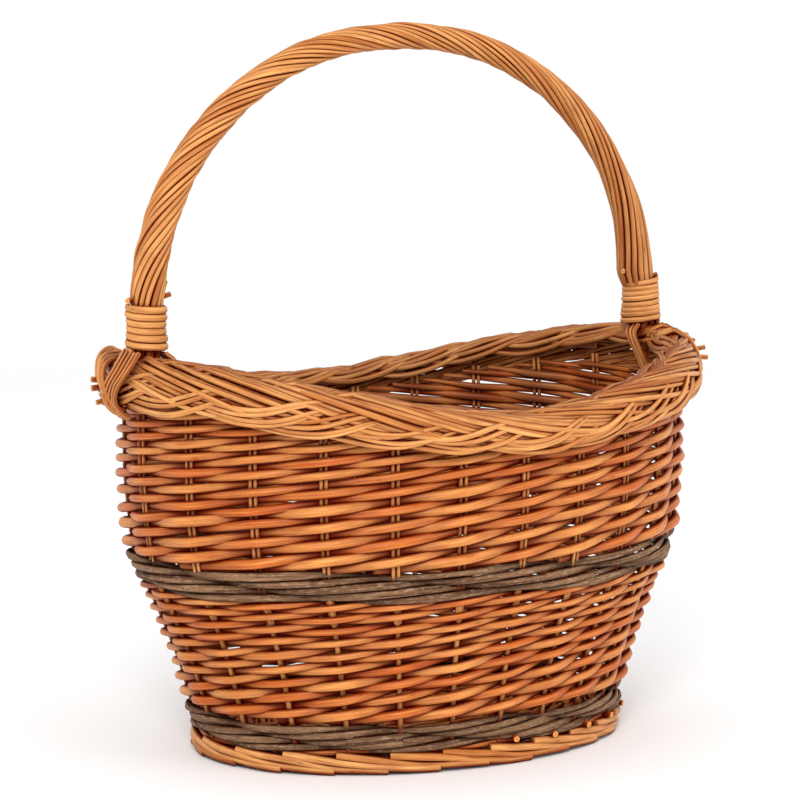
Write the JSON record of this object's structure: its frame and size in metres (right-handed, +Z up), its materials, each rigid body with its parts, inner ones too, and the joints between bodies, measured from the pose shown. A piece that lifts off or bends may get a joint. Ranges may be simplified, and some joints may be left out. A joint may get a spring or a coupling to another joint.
{
  "type": "woven market basket",
  "caption": "Oval willow shopping basket with flared woven sides, two dark bands, a plaited saddle rim and a rigid roped arch handle.",
  "frame": {"origin": "middle of the basket's foot, on the ground", "axes": "+Z up; X along the basket's length, in the handle's plane; the long sides face -Y and +Y"},
  "size_m": [0.4076, 0.308, 0.4518],
  "materials": {
    "willow_stick": "split and round willow, dull",
    "buff_willow": "boiled and peeled red-brown willow, satin",
    "brown_bark_willow": "grey-brown willow with its bark on, matt",
    "light_willow": "peeled orange-tan willow, satin"
  },
  "bodies": {
    "root": {"base_cross_stick_1": "willow_stick", "base_cross_stick_2": "willow_stick", "base_cross_stick_3": "willow_stick", "base_cross_stick_4": "willow_stick", "base_cross_stick_5": "willow_stick", "base_long_stick_1": "willow_stick", "base_long_stick_2": "willow_stick", "base_long_stick_3": "willow_stick", "base_weave": "buff_willow", "foot_border": "light_willow", "stake_01": "buff_willow", "stake_02": "buff_willow", "stake_03": "buff_willow", "stake_04": "buff_willow", "stake_05": "buff_willow", "stake_06": "buff_willow", "stake_07": "buff_willow", "stake_08": "buff_willow", "stake_09": "buff_willow", "stake_10": "buff_willow", "stake_11": "buff_willow", "stake_12": "buff_willow", "stake_13": "buff_willow", "stake_14": "buff_willow", "stake_15": "buff_willow", "stake_16": "buff_willow", "stake_17": "buff_willow", "stake_18": "buff_willow", "stake_19": "buff_willow", "stake_20": "buff_willow", "stake_21": "buff_willow", "stake_22": "buff_willow", "stake_23": "buff_willow", "stake_24": "buff_willow", "bottom_wale": "brown_bark_willow", "lower_siding": "buff_willow", "middle_wale": "brown_bark_willow", "upper_siding": "buff_willow", "rim_border": "light_willow", "handle_bow": "willow_stick", "handle_rope_bunch_1": "light_willow", "handle_rope_bunch_2": "light_willow", "handle_rope_bunch_3": "light_willow", "handle_rope_bunch_4": "light_willow", "handle_binding_left": "light_willow", "handle_binding_right": "light_willow", "lashing_left_outer": "light_willow", "lashing_left_inner": "light_willow", "lashing_right_outer": "light_willow", "lashing_right_inner": "light_willow"}
  },
  "joints": []
}
